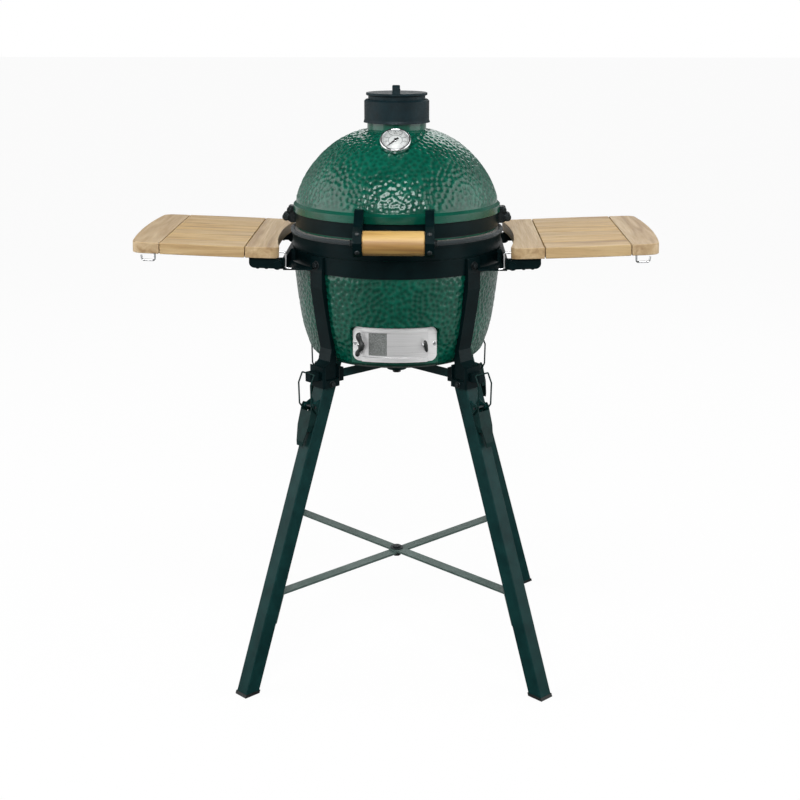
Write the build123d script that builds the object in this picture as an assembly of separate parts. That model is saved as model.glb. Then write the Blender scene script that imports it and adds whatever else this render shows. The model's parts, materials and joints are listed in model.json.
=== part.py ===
from build123d import *
import os
import math

# Egg-shaped ceramic charcoal grill on a folding stand, with two hinged side shelves.
# Units are millimetres. The origin is on the floor under the egg's axis, +Z is up and
# the front, where the handle and the draft door are, faces -Y.

os.makedirs("parts", exist_ok=True)

# Legs: square tubes that lean inward, one on each diagonal.
LEG_SIDE = 30.0
LEG_WALL = 2.0
LEG_CORNER = 3.0
LEG_RADIUS_AT_FLOOR = 388.5
LEG_LEAN = 0.362
LEG_BOTTOM = 6.0
LEG_TOP = 570.0
FOOT_SIDE = 31.0
AZIMUTHS = {"front_left": 225.0, "front_right": 315.0, "back_left": 135.0, "back_right": 45.0}
PAIR_A = ("front_left", "back_right")
PAIR_B = ("front_right", "back_left")

# Sockets on the leg tops, with a saddle that is open sideways for the carrier's feet.
SOCKET_INNER = 165.0
SOCKET_OUTER = 206.0
SOCKET_HALF_WIDTH = 21.0
SOCKET_BOTTOM = 562.0
SOCKET_TOP = 602.0
SADDLE_FLOOR = 575.7
SADDLE_INNER = 170.0
SADDLE_OUTER = 202.0
HOOK_NOSE = 227.0
HOOK_HALF_WIDTH = 10.0

# Crossed bars that join the legs.
BRACE_WIDTH = 22.0
BRACE_THICK = 4.0
BRACE_A_BOTTOM = 178.0
BRACE_B_BOTTOM = 182.3
BRACE_FLANGE_END = 125.0
ARM_THICK = 4.0
ARM_START = 15.0
ARM_END = 163.0
ARM_BOTTOM = 570.6
ARM_TOP = 586.6
HUB_RADIUS = 19.0
HUB_BOLT_RADIUS = 4.0
RUNNING = 0.06

# Toggle latches: lever on a pin in front of each leg, wire bail over the socket's hook.
LATCH_PIVOT = (223.4, 529.0)
BAIL_PIVOT = (221.4, 517.0)
BAIL_BAR = (226.0, 592.0)
LATCH_PIN_RADIUS = 2.5
LUG_NEAR = 9.0
LUG_FAR = 12.0
EAR_NEAR = 13.0
EAR_FAR = 15.0
BAIL_WIRE = 1.5
BAIL_HALF_WIDTH = 17.0
LEVER_LENGTH = 76.0
LEVER_TIP_HALF = 7.0


def prism_xz(points, y_low, y_high):
    """Extrude an outline given as (x, z) points between two y values."""
    face = Plane.XZ * make_face(Polyline(*points, close=True))
    return Pos(0, y_high, 0) * extrude(face, amount=y_high - y_low)


def prism_yz(points, x_low, x_high):
    """Extrude an outline given as (y, z) points between two x values."""
    face = Plane.YZ * make_face(Polyline(*points, close=True))
    return Pos(x_low, 0, 0) * extrude(face, amount=x_high - x_low)


def block(x_low, x_high, y_low, y_high, z_low, z_high):
    """Box between two corners."""
    centre = Pos((x_low + x_high) / 2, (y_low + y_high) / 2, (z_low + z_high) / 2)
    return centre * Box(x_high - x_low, y_high - y_low, z_high - z_low)


def rod_x(radius, x_low, x_high, y, z):
    """Round rod along X."""
    return Pos((x_low + x_high) / 2, y, z) * Rot(0, 90, 0) * Cylinder(radius, x_high - x_low)


def rod_y(radius, y_low, y_high, x, z):
    """Round rod along Y."""
    return Pos(x, (y_low + y_high) / 2, z) * Rot(90, 0, 0) * Cylinder(radius, y_high - y_low)


def rod_z(radius, z_low, z_high, x=0.0, y=0.0):
    """Round rod along Z."""
    return Pos(x, y, (z_low + z_high) / 2) * Cylinder(radius, z_high - z_low)


def hex_z(across, z_low, z_high):
    """Hexagonal bolt head along Z, by its width across corners."""
    return Pos(0, 0, z_low) * extrude(RegularPolygon(across / 2, 6), amount=z_high - z_low)


def spun(points):
    """Turn an outline given as (radius, z) points about the Z axis."""
    return revolve(Plane.XZ * make_face(Polyline(*points, close=True)), Axis.Z)


def ring(r_low, r_high, z_low, z_high):
    """Plain ring about the Z axis."""
    return spun([(r_low, z_low), (r_high, z_low), (r_high, z_high), (r_low, z_high)])


def sector(r_low, r_high, start, end, z_low, z_high):
    """Part of a ring. Angles are from the front, positive towards +X."""
    outline = Polyline((r_low, z_low), (r_high, z_low), (r_high, z_high), (r_low, z_high), close=True)
    piece = revolve(Plane.XZ * make_face(outline), Axis.Z, end - start)
    return Rot(0, 0, start - 90) * piece


def wire(points, radius, bend):
    """Round wire along a path of points with rounded bends."""
    path = FilletPolyline(*points, radius=bend)
    start = Plane(origin=path @ 0, z_dir=path % 0)
    return sweep(start * Circle(radius), path)


def at(place, solid):
    """Turn a piece made on the +X axis to one of the four diagonals."""
    return Rot(0, 0, AZIMUTHS[place]) * solid


def save(name, *solids):
    """Write one named node."""
    shape = solids[0] if len(solids) == 1 else Compound(children=list(solids))
    export_step(shape, os.path.join("parts", name + ".step"))


def leg_centre(z):
    """Distance of the leg's centre line from the Z axis."""
    return LEG_RADIUS_AT_FLOOR - LEG_LEAN * z


LEG_SLANT = math.sqrt(1 + LEG_LEAN ** 2)


def leg_prism(z_low, z_high, side):
    """Solid square bar along the leg's centre line, with level ends."""
    half = side / 2 * LEG_SLANT
    outline = [
        (leg_centre(z_low) - half, z_low),
        (leg_centre(z_low) + half, z_low),
        (leg_centre(z_high) + half, z_high),
        (leg_centre(z_high) - half, z_high),
    ]
    return prism_xz(outline, -side / 2, side / 2)


def leg_face(z, outward):
    """Radius of the leg's outer or inner face at a height."""
    return leg_centre(z) + outward * LEG_SIDE / 2 * LEG_SLANT


def make_leg():
    """Tube with two lugs on its outer face for the latch pin."""
    tube = leg_prism(LEG_BOTTOM, LEG_TOP, LEG_SIDE)
    long_edges = tube.edges().filter_by(lambda edge: edge.length > 400)
    tube = fillet(long_edges, LEG_CORNER)
    tube -= leg_prism(LEG_BOTTOM - 1, LEG_TOP + 1, LEG_SIDE - 2 * LEG_WALL)
    px, pz = LATCH_PIVOT
    root_low = pz - 12
    root_high = pz + 12
    lug_outline = [
        (leg_face(root_low, 1) - 1, root_low),
        (px + 1, pz - 5.2),
        (px + 1, pz + 5.2),
        (leg_face(root_high, 1) - 1, root_high),
    ]
    for side in (-1, 1):
        low, high = sorted((side * LUG_NEAR, side * LUG_FAR))
        tube += prism_xz(lug_outline, low, high) + rod_y(5.3, low, high, px, pz)
    return tube - rod_y(LATCH_PIN_RADIUS + 0.02, -20, 20, px, pz)


def make_foot():
    """Plastic foot cap with a spigot inside the tube."""
    spigot = leg_prism(LEG_BOTTOM, 24, LEG_SIDE - 2 * LEG_WALL - 0.2)
    return leg_prism(0, LEG_BOTTOM, FOOT_SIDE) + spigot


def make_socket():
    """Bracket over the leg's top: saddle above, arm sleeve inside, latch hook outside."""
    body = block(SOCKET_INNER, SOCKET_OUTER, -SOCKET_HALF_WIDTH, SOCKET_HALF_WIDTH, SOCKET_BOTTOM, SOCKET_TOP)
    body = fillet(body.edges().filter_by(Axis.Z), 5)
    body += block(146, SOCKET_INNER + 1, -8, 8, 566, 592)
    hook = block(SOCKET_OUTER - 2, HOOK_NOSE, -HOOK_HALF_WIDTH, HOOK_HALF_WIDTH, 576, 593)
    hook = fillet(hook.edges().filter_by(Axis.Z).sort_by(Axis.X)[-2:], 5)
    body += hook
    body -= leg_prism(SOCKET_BOTTOM - 2, LEG_TOP, LEG_SIDE + 0.1)
    body -= ring(SADDLE_INNER, SADDLE_OUTER, SADDLE_FLOOR, SOCKET_TOP + 1)
    body -= block(140, ARM_END + 0.1, -ARM_THICK / 2 - 0.05, ARM_THICK / 2 + 0.05, ARM_BOTTOM - 0.1, ARM_TOP + 0.1)
    return body - rod_y(BAIL_WIRE + 0.5, -20, 20, BAIL_BAR[0], BAIL_BAR[1])


def make_upper_arm(bar_bottom, bar_top, hub_bottom, hub_top):
    """Two bars on edge, welded to a hub disc."""
    hub = rod_z(HUB_RADIUS, hub_bottom, hub_top)
    bar = block(ARM_START, ARM_END, -ARM_THICK / 2, ARM_THICK / 2, bar_bottom, bar_top)
    return hub + bar + Rot(0, 0, 180) * bar - rod_z(HUB_BOLT_RADIUS + RUNNING, 500, 640)


def make_lower_brace(bottom):
    """Flat bar from leg to leg, with its ends bent down along the legs."""
    top = bottom + BRACE_THICK
    flange = BRACE_THICK * LEG_SLANT
    outline = [
        (0, bottom),
        (0, top),
        (leg_face(top, -1), top),
        (leg_face(BRACE_FLANGE_END, -1), BRACE_FLANGE_END),
        (leg_face(BRACE_FLANGE_END, -1) - flange, BRACE_FLANGE_END),
        (leg_face(bottom, -1) - flange, bottom),
    ]
    half = prism_xz(outline, -BRACE_WIDTH / 2, BRACE_WIDTH / 2)
    return half + Rot(0, 0, 180) * half - rod_z(HUB_BOLT_RADIUS + RUNNING, 100, 300)


def make_lever():
    """Pressed channel that lies along the leg, ears towards the leg."""
    px, pz = LATCH_PIVOT
    qx, qz = BAIL_PIVOT
    down = (LEG_LEAN / LEG_SLANT, -1 / LEG_SLANT)
    out = (1 / LEG_SLANT, LEG_LEAN / LEG_SLANT)

    def along(distance, lift):
        return (px + down[0] * distance + out[0] * lift, pz + down[1] * distance + out[1] * lift)

    side_view = [
        along(-6, -3), along(-6, 6), along(0, 8), along(LEVER_LENGTH - 8, 3), along(LEVER_LENGTH, 1),
        along(LEVER_LENGTH, -3), along(LEVER_LENGTH - 20, -6), along(20, -8.8), along(6, -8.8), along(0, -6.5),
    ]
    hollow = [
        along(-20, -30), along(-20, 20), along(9, 20), along(9, 5.2), along(LEVER_LENGTH - 8, 1),
        along(LEVER_LENGTH + 9, -2), along(LEVER_LENGTH + 9, -30),
    ]
    lever = prism_xz(side_view, -EAR_FAR, EAR_FAR) - prism_xz(hollow, -EAR_NEAR, EAR_NEAR)
    wide = pz - LEVER_LENGTH * 0.45
    tip = pz - LEVER_LENGTH
    half_view = [(EAR_FAR, pz + 20), (EAR_FAR, wide), (LEVER_TIP_HALF, tip)]
    front_view = half_view + [(-t, z) for t, z in reversed(half_view)]
    lever &= prism_yz(front_view, px - 30, px + 60)
    lever -= rod_y(LATCH_PIN_RADIUS + RUNNING, -20, 20, px, pz)
    return lever - rod_y(BAIL_WIRE + RUNNING, -20, 20, qx, qz)


def make_bail():
    """Bent wire loop: ends in the lever's ears, cross bar over the hook."""
    qx, qz = BAIL_PIVOT
    bx, bz = BAIL_BAR
    end = EAR_NEAR - 0.4
    half = BAIL_HALF_WIDTH
    right = [(qx, end, qz), (qx, half, qz), (234, half, 534), (235, half, 574), (bx, half, bz)]
    left = [(x, -y, z) for x, y, z in reversed(right)]
    return wire(right + left, BAIL_WIRE, 1.6)


legs = {place: at(place, make_leg()) for place in AZIMUTHS}
sockets = {place: at(place, make_socket()) for place in AZIMUTHS}
for place in AZIMUTHS:
    save("leg_" + place, legs[place])
    save("socket_" + place, sockets[place])
    save("latch_lever_" + place, at(place, make_lever()))
    save("latch_bail_" + place, at(place, make_bail()))

pin = rod_y(LATCH_PIN_RADIUS, -16.6, 16.6, LATCH_PIVOT[0], LATCH_PIVOT[1])
for pair, name in ((PAIR_A, "a"), (PAIR_B, "b")):
    save("foot_caps_" + name, *[at(place, make_foot()) for place in pair])
    save("latch_pins_" + name, *[at(place, pin) for place in pair])

save("upper_arm_a", at("back_right", make_upper_arm(ARM_BOTTOM, ARM_TOP - 0.4, 562, ARM_BOTTOM)))
save("upper_arm_b", at("back_left", make_upper_arm(ARM_BOTTOM + 0.4, ARM_TOP, ARM_TOP, 593)))
save("lower_brace_a", at("back_right", make_lower_brace(BRACE_A_BOTTOM)))
save("lower_brace_b", at("back_left", make_lower_brace(BRACE_B_BOTTOM)))

upper_bolt = rod_z(HUB_BOLT_RADIUS, 556, 599) + rod_z(8, ARM_BOTTOM, ARM_TOP - 0.4)
upper_bolt += hex_z(16, 555, 562) + hex_z(16, 593.4, 599)
save("upper_hub_bolt", upper_bolt)
lower_bolt = rod_z(HUB_BOLT_RADIUS, 171, 190) + hex_z(16, 171, BRACE_A_BOTTOM)
lower_bolt += rod_z(13, BRACE_B_BOTTOM + BRACE_THICK + 0.4, 188.5) + rod_z(8, 188, 191.5)
save("lower_hub_bolt", lower_bolt)

# Ceramic base: outer wall as (radius, z), from the flat bottom up to the straight rim.
BASE_BOTTOM = 600.0
BASE_RIM = 838.0
BASE_CURVE = [
    (160, 606), (166.5, 618), (172, 634), (178, 654), (182.7, 678),
    (186, 700), (189, 725), (191.5, 748), (193.3, 764), (194, 775),
]
BASE_RADIUS = 194.0
BASE_FOOT_RADIUS = 148.0
BASE_WALL = 23.0
BASE_FLOOR = 624.0

# Steel carrier that the egg sits in.
CARRIER_LOW = 775.0
CARRIER_HIGH = 807.0
CARRIER_OUTER = 197.0
STRAP_HALF_WIDTH = 16.0
STRAP_SHEET = 3.0
FOOT_BOTTOM = 576.0
STRAP_OUTER = [(201, 805), (203.5, 778), (203.5, 748), (195.5, 700), (189, 665), (182, 632), (187, 610), (197, 602)]

# Shelf hinges.
HINGE_X = 212.0
HINGE_Z = 795.0
HINGE_PIN = 4.0
LUG_Y = (143.5, 150.5)
ARM_Y = (150.9, 164.9)

# Draft door: curved plates in a frame on the front of the base.
LAND_RADIUS = 173.8
DRAFT_HALF_ANGLE = 26.0
DRAFT_LOW = 618.0
DRAFT_HIGH = 682.0
RAIL_HEIGHT = 8.5
RAIL_HALF_ANGLE = 19.5
DRAFT_CORNER = 12.0
WINDOW = (-16.3, 15.0, 631.0, 671.0)
SCREEN_ANGLES = (-22.5, 1.0)
SCREEN_RADII = (175.5, 176.7)
DOOR_ANGLES = (-4.5, 20.0)
DOOR_RADII = (177.2, 178.4)
PLATE_LOW = 621.8
PLATE_HIGH = 678.2


def curved_wall(points, tail):
    """Face between a smooth curve through points and the straight lines of the tail."""
    curve = Spline(*points)
    lines = Polyline(points[-1], *tail, points[0])
    return Plane.XZ * make_face(Curve() + [curve, lines])


def base_outer():
    """Solid of the base's outside shape."""
    tail = [(BASE_RADIUS, BASE_RIM), (0, BASE_RIM), (0, BASE_BOTTOM), (BASE_FOOT_RADIUS, BASE_BOTTOM)]
    return revolve(curved_wall(BASE_CURVE, tail), Axis.Z)


def base_inner():
    """Solid of the base's hollow."""
    inner = [(r - BASE_WALL, z) for r, z in BASE_CURVE if z > 630]
    top = inner[-1][0]
    tail = [(top, BASE_RIM + 1), (0, BASE_RIM + 1), (0, BASE_FLOOR), (inner[0][0] - 4, BASE_FLOOR)]
    return revolve(curved_wall(inner, tail), Axis.Z)


def make_base_shell():
    """Thick ceramic bowl with an upright land and an air inlet for the draft door."""
    land = DRAFT_HALF_ANGLE + 1.2
    shell = base_outer()
    shell += sector(140, LAND_RADIUS, -land, land, DRAFT_LOW - 5, DRAFT_HIGH + 3)
    shell -= sector(LAND_RADIUS, 215, -land, land, DRAFT_LOW - 2, DRAFT_HIGH + 2)
    shell -= base_inner()
    return shell - sector(100, 200, -17, 1, WINDOW[2], WINDOW[3])


def make_strap():
    """Channel from the carrier band down to the foot that stands in the saddle."""
    inside = [(r + 1.4, z) for r, z in BASE_CURVE if 610 < z < 770]
    back = [(200, FOOT_BOTTOM), (172, FOOT_BOTTOM), (172, 600), (170.5, 612)] + inside[1:]
    back += [(CARRIER_OUTER, CARRIER_LOW), (CARRIER_OUTER, 805)]
    solid = prism_xz(STRAP_OUTER + back, -STRAP_HALF_WIDTH, STRAP_HALF_WIDTH)
    hollow_front = [(r - STRAP_SHEET, z) for r, z in STRAP_OUTER[1:6]]
    hollow_back = [(150, 632), (150, 778)]
    inside_half = STRAP_HALF_WIDTH - STRAP_SHEET
    solid -= prism_xz(hollow_front + hollow_back, -inside_half, inside_half)
    solid -= rod_z(171.0, 590, 630) + rod_z(CARRIER_OUTER, CARRIER_LOW - 1, CARRIER_HIGH)
    return solid & ring(171.0, 230, FOOT_BOTTOM, 806) - ring(201.2, 230, 500, SOCKET_TOP + 3)


def make_shelf_bracket():
    """Straight bar on the right of the band, with gussets, and lugs and pins for the shelf's arms."""
    bracket = block(CARRIER_OUTER, 203, -LUG_Y[1], LUG_Y[1], 783, 806)
    bracket += block(150, 203, -LUG_Y[1], LUG_Y[1], 783, 786) - rod_z(204.5, 770, 820)
    bracket += block(185, 200, -55, 55, 783, 806)
    bracket -= rod_z(CARRIER_OUTER, 770, 820)
    for side in (-1, 1):
        low, high = sorted((side * LUG_Y[0], side * LUG_Y[1]))
        bracket += block(200, HINGE_X, low, high, HINGE_Z - 10, HINGE_Z + 10)
        bracket += rod_y(10, low, high, HINGE_X, HINGE_Z)
        low, high = sorted((side * LUG_Y[0], side * 167.5))
        bracket += rod_y(HINGE_PIN, low, high, HINGE_X, HINGE_Z)
        low, high = sorted((side * 165.3, side * 168.3))
        bracket += rod_y(7, low, high, HINGE_X, HINGE_Z)
    return bracket


def make_draft_frame():
    """Back plate with round corners and a window, and two rails with grooves for the sliding plates."""
    half = DRAFT_HALF_ANGLE
    rail = RAIL_HALF_ANGLE
    plate = sector(LAND_RADIUS, 175.2, -half, half, DRAFT_LOW, DRAFT_HIGH)
    half_width = 175.2 * math.sin(math.radians(half))
    face = Plane.XZ * Pos(0, (DRAFT_LOW + DRAFT_HIGH) / 2) * RectangleRounded(
        2 * half_width, DRAFT_HIGH - DRAFT_LOW, DRAFT_CORNER
    )
    plate &= extrude(face, amount=220)
    plate -= sector(170, 180, *WINDOW)
    for low, high in ((DRAFT_LOW, PLATE_LOW - 0.3), (PLATE_HIGH + 0.3, DRAFT_HIGH)):
        plate += sector(175, 179, -rail, rail, low, high)
    for low in (DRAFT_LOW, DRAFT_HIGH - RAIL_HEIGHT):
        plate += sector(178.8, 179.8, -rail, rail, low, low + RAIL_HEIGHT)
    return plate


def make_draft_screen():
    """Perforated plate behind the door, on its left."""
    plate = sector(*SCREEN_RADII, *SCREEN_ANGLES, PLATE_LOW, PLATE_HIGH)
    columns = 8
    rows = 6
    pitch_angle = 2.1
    pitch_z = 7.0
    holes = []
    for column in range(columns):
        start = -18.0 + column * pitch_angle
        for row in range(rows):
            low = 630.0 + row * pitch_z
            holes.append(sector(170, 182, start, start + 1.5, low, low + 5.2))
    return plate - holes


def at_front(angle, solid):
    """Turn a piece made on the +X axis to an angle from the front."""
    return Rot(0, 0, angle - 90) * solid


def make_fire_box():
    """Ceramic bowl for the charcoal, with an air port in front and a hole under the grate."""
    bowl = spun([(60, 626), (128, 626), (158, 740), (142, 740), (118, 662), (108, 650), (60, 650)])
    return bowl - sector(90, 170, -20, 20, 632, 668)


def make_cast_grate():
    """Round plate with slots."""
    plate = rod_z(104, 650.2, 657)
    slots = []
    for column in range(-4, 5):
        half = math.sqrt(92 ** 2 - (column * 20) ** 2)
        slots.append(block(column * 20 - 4, column * 20 + 4, -half, half, 640, 660))
    return plate - slots


def make_cooking_grid():
    """Round wire grid on the fire ring."""
    grid = ring(160, 165, 800.2, 806)
    for column in range(-8, 9):
        x = column * 18
        half = math.sqrt(162 ** 2 - x ** 2)
        grid += block(x - 2, x + 2, -half, half, 801, 805.5)
    return grid


base_shell = make_base_shell()
save("base_shell", base_shell)
save("carrier_band", ring(BASE_RADIUS, CARRIER_OUTER, CARRIER_LOW, CARRIER_HIGH))
save("carrier_straps", *[at(place, make_strap()) for place in AZIMUTHS])
right_bracket = make_shelf_bracket()
save("shelf_brackets", right_bracket, mirror(right_bracket, Plane.YZ))

band = ring(BASE_RADIUS, 197.5, 808, 837.5) + ring(197, 199, 830, 837.5)
save("base_band", band)
save("base_gasket", ring(172, 193, BASE_RIM, 839.8))

save("draft_frame", make_draft_frame())
save("draft_door", sector(*DOOR_RADII, *DOOR_ANGLES, PLATE_LOW, PLATE_HIGH))
knob = Rot(0, 90, 0) * (rod_z(3.5, DOOR_RADII[1] - 0.2, 186) + rod_z(7.5, 184, 195))
knob -= rod_z(DOOR_RADII[1], -20, 20)
save("draft_door_knob", at_front(17.5, Pos(0, 0, 650) * knob))
save("draft_screen", make_draft_screen())
tab = block(176, 186, -1.5, 1.5, 641, 660) + block(184, 187, -1.5, 6.5, 641, 660)
save("draft_screen_handle", at_front(-20.8, tab - rod_z(SCREEN_RADII[1], 600, 700)))

save("fire_box", make_fire_box())
save("fire_ring", ring(148, 166, 740.5, 800))
save("fire_grate", make_cast_grate())
save("cooking_grid", make_cooking_grid())

HINGE_Y = 222.0
LID_HINGE_Z = 840.0
KNUCKLE = 9.0
base_hinge = rod_x(KNUCKLE, -28, 28, HINGE_Y, LID_HINGE_Z)
base_hinge += block(-28, 28, 180, HINGE_Y + 6, 812, 836)
base_hinge -= rod_z(199.2, 829, 850) + rod_z(197.5, 800, 830)
base_hinge -= rod_x(HINGE_PIN + 0.02, -60, 60, HINGE_Y, LID_HINGE_Z)
save("hinge_base_bracket", base_hinge)
save("hinge_pin", rod_x(HINGE_PIN, -50, 50, HINGE_Y, LID_HINGE_Z))

# Ceramic lid: dome as (radius, z), from the smooth rim up to the chimney's root.
LID_BOTTOM = 842.0
LID_BAND_RADIUS = 189.0
LID_BAND_TOP = 872.0
LID_RIM_RADIUS = 195.0
LID_RIM_TOP = 886.0
DOME = [(190, 891), (183, 913), (172.4, 935.5), (157, 958), (136.9, 980), (107.6, 1002.5), (84, 1014), (60, 1022)]
DOME_INNER = [(168, 886), (163, 905), (152, 930), (137, 952), (117, 972), (90, 991), (60, 1003), (39, 1008)]
CHIMNEY_RADIUS = 55.0
CHIMNEY_TOP = 1050.0
VENT_RADIUS = 44.0

# Handle in front of the lid.
GRIP_RADIUS = 21.5
GRIP_HALF_LENGTH = 54.5
GRIP_Y = -250.0
GRIP_Z = 849.0

# Dial thermometer in the dome.
DIAL_RADIUS = 28.0
DIAL_THICK = 8.0
DIAL_FACE = (0.0, -113.0, 1014.5)
DIAL_TILT = 40.0

# Cast vent cap with a swinging disc.
CAP_RADIUS = 60.5
CAP_BOTTOM = 1036.0
CAP_TOP = 1078.0
DISC_RADIUS = 57.0
DISC_PIN_Y = 47.0

# Shelves, drawn level and then tipped up about their hinge.
SHELF_TILT = 2.2
BOARD_BOTTOM = 807.4
BOARD_THICK = 20.0
SHELF_INNER = 207.0
SHELF_OUTER = 473.0
SHELF_HALF_WIDTH = 171.0
SLAT_ENDS = (270.0, 424.0)
SLAT_COUNT = 6


def lid_outer():
    """Solid of the lid's outside shape with its chimney."""
    tail = [
        (CHIMNEY_RADIUS, 1024), (CHIMNEY_RADIUS, CHIMNEY_TOP), (0, CHIMNEY_TOP), (0, LID_BOTTOM),
        (LID_BAND_RADIUS, LID_BOTTOM), (LID_BAND_RADIUS, LID_BAND_TOP), (LID_RIM_RADIUS, LID_BAND_TOP + 1),
        (LID_RIM_RADIUS, LID_RIM_TOP),
    ]
    return revolve(curved_wall(DOME, tail), Axis.Z)


def lid_inner():
    """Solid of the lid's hollow, with the vent hole."""
    tail = [(39, CHIMNEY_TOP + 1), (0, CHIMNEY_TOP + 1), (0, LID_BOTTOM - 1), (168, LID_BOTTOM - 1)]
    return revolve(curved_wall(DOME_INNER, tail), Axis.Z)


def on_dial(solid):
    """Move a piece made about Z, with the dial's face at z = 0, to its place on the dome."""
    return Pos(*DIAL_FACE) * Rot(DIAL_TILT, 0, 0) * solid


def make_thermometer():
    """Round case with a recessed dial, a spacer and a stem into the dome."""
    case = rod_z(DIAL_RADIUS, -DIAL_THICK, 0)
    case = fillet(case.edges().sort_by(Axis.Z)[-1:], 2)
    case -= rod_z(DIAL_RADIUS - 3.5, -2.6, 1)
    case += rod_z(13, -14, -DIAL_THICK + 1)
    placed = on_dial(case) - lid_outer()
    return placed + on_dial(rod_z(4, -52, -DIAL_THICK + 1)) + on_dial(rod_z(2, -4, -0.9))


def make_handle_bracket():
    """Cast bracket on the right of the grip, fitted to the lid's rim and band."""
    side_view = [
        (-150, 898), (-192, 898), (-203, 893), (-236, 876), (-262, 869), (-273, 852), (-268, 834),
        (-252, 825), (-236, 830), (-227, 846), (-205, 850), (-150, 850),
    ]
    bracket = prism_yz(side_view, GRIP_HALF_LENGTH + 0.1, GRIP_HALF_LENGTH + 16)
    outside = lid_outer() + rod_z(192, 846, LID_BAND_TOP)
    return bracket - outside


def make_side_lug():
    """Split clamp ear with two bolts, on the right of the lid band."""
    side_view = [
        (190, 849), (200, 849), (207, 853), (214, 854), (216, 860), (214, 866),
        (208, 868), (207, 875), (202, 880), (190, 880),
    ]
    lug = prism_xz(side_view, -12, 12) - block(199, 220, -3, 3, 840, 890)
    lug = lug - rod_z(192, 840, LID_BAND_TOP) - lid_outer()
    for x, z, head in ((209, 860, 6.5), (202, 874, 4.5)):
        lug += rod_y(head / 2, -14, 14, x, z) + rod_y(head, -17, -11, x, z) + rod_y(head, 11, 16, x, z)
    return lug


def make_hinge_ear():
    """Right ear of the lid's half of the rear hinge."""
    side_view = [(180, 847), (180, 868), (204, 868), (230, 844), (228, 834), (214, 838)]
    ear = prism_yz(side_view, 28.4, 44) + rod_x(KNUCKLE, 28.4, 44, HINGE_Y, LID_HINGE_Z)
    return ear - rod_z(192, 830, 880) - rod_x(HINGE_PIN + RUNNING, 0, 60, HINGE_Y, LID_HINGE_Z)


def make_vent_cap():
    """Cast cap over the chimney, with a collar and a pivot pin for the disc."""
    cap = spun([
        (55.4, CAP_BOTTOM), (62, CAP_BOTTOM), (CAP_RADIUS, CAP_BOTTOM + 5), (CAP_RADIUS, CAP_TOP - 3),
        (CAP_RADIUS - 3, CAP_TOP), (53, CAP_TOP), (53, 1084.5), (VENT_RADIUS, 1084.5),
        (VENT_RADIUS, 1070), (50, 1070), (50, CHIMNEY_TOP + 0.3), (55.4, CHIMNEY_TOP + 0.3),
    ])
    return cap + rod_z(3, 1080, 1092, 0, DISC_PIN_Y) + rod_z(6, 1090.6, 1093, 0, DISC_PIN_Y)


def make_vent_disc():
    """Swinging lid of the vent, with an upright tab at its front."""
    disc = rod_z(DISC_RADIUS, 1085, 1090)
    disc = fillet(disc.edges(), 1.5)
    tab_view = [(-57, 1086), (-44, 1086), (-46, 1102), (-49, 1106), (-54, 1106), (-57, 1102)]
    tab = prism_yz(tab_view, -7, 7)
    disc += fillet(tab.edges().filter_by(Axis.Z, reverse=True).group_by(Axis.Z)[-1], 2)
    return disc - rod_z(3 + RUNNING, 1080, 1100, 0, DISC_PIN_Y)


def shelf_tilt(solid):
    """Tip a level right-hand shelf piece up about its hinge."""
    return Pos(HINGE_X, 0, HINGE_Z) * Rot(0, -SHELF_TILT, 0) * Pos(-HINGE_X, 0, -HINGE_Z) * solid


def make_shelf():
    """Wooden shelf with bowed edges and grooves between its boards."""
    front = -SHELF_HALF_WIDTH
    back = SHELF_HALF_WIDTH
    middle = (SHELF_INNER + SHELF_OUTER) / 2
    outline = Curve() + [
        ThreePointArc((SHELF_INNER, front), (middle, front - 4), (SHELF_OUTER, front)),
        ThreePointArc((SHELF_OUTER, front), (SHELF_OUTER + 10, 0), (SHELF_OUTER, back)),
        ThreePointArc((SHELF_OUTER, back), (middle, back + 4), (SHELF_INNER, back)),
        ThreePointArc((SHELF_INNER, back), (SHELF_INNER + 15, 0), (SHELF_INNER, front)),
    ]
    board = Pos(0, 0, BOARD_BOTTOM) * extrude(make_face(outline), amount=BOARD_THICK)
    board = fillet(board.edges().filter_by(Axis.Z), 14)
    top = BOARD_BOTTOM + BOARD_THICK
    board = fillet(board.faces().sort_by(Axis.Z)[-1].outer_wire().edges(), 3)
    for x in SLAT_ENDS:
        board -= block(x - 0.8, x + 0.8, -200, 200, top - 5, top + 1)
    for number in range(1, SLAT_COUNT):
        y = -SHELF_HALF_WIDTH + number * 2 * SHELF_HALF_WIDTH / SLAT_COUNT
        board -= block(SLAT_ENDS[0], SLAT_ENDS[1], y - 0.8, y + 0.8, top - 5, top + 1)
    return board


def make_shelf_arms():
    """Pair of flat bars under the shelf, each on its hinge pin."""
    arms = []
    for side in (-1, 1):
        low, high = sorted((side * ARM_Y[0], side * ARM_Y[1]))
        arm = block(HINGE_X, 263, low, high, HINGE_Z - 7, BOARD_BOTTOM)
        arm = fillet(arm.edges().filter_by(Axis.Y).group_by(Axis.Z)[0].sort_by(Axis.X)[-1], 10)
        arm += rod_y(9, low, high, HINGE_X, HINGE_Z)
        arms.append(arm - rod_y(HINGE_PIN + RUNNING, low - 1, high + 1, HINGE_X, HINGE_Z))
    return arms


def make_tool_hooks():
    """Chrome wire hook under the shelf's outer end, and a wire clip at its inner front corner."""
    top = BOARD_BOTTOM
    hook = [(434, -160, top), (434, -160, top - 14), (457, -160, top - 14), (458.5, -160, top - 5)]
    clip = [(209.4, -156, top + 10), (197.6, -156, top + 10), (197.6, -156, top - 18.5), (187, -156, top - 19.5)]
    return [wire(hook, 1.8, 4), wire(clip, 1.8, 4)]


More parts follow.
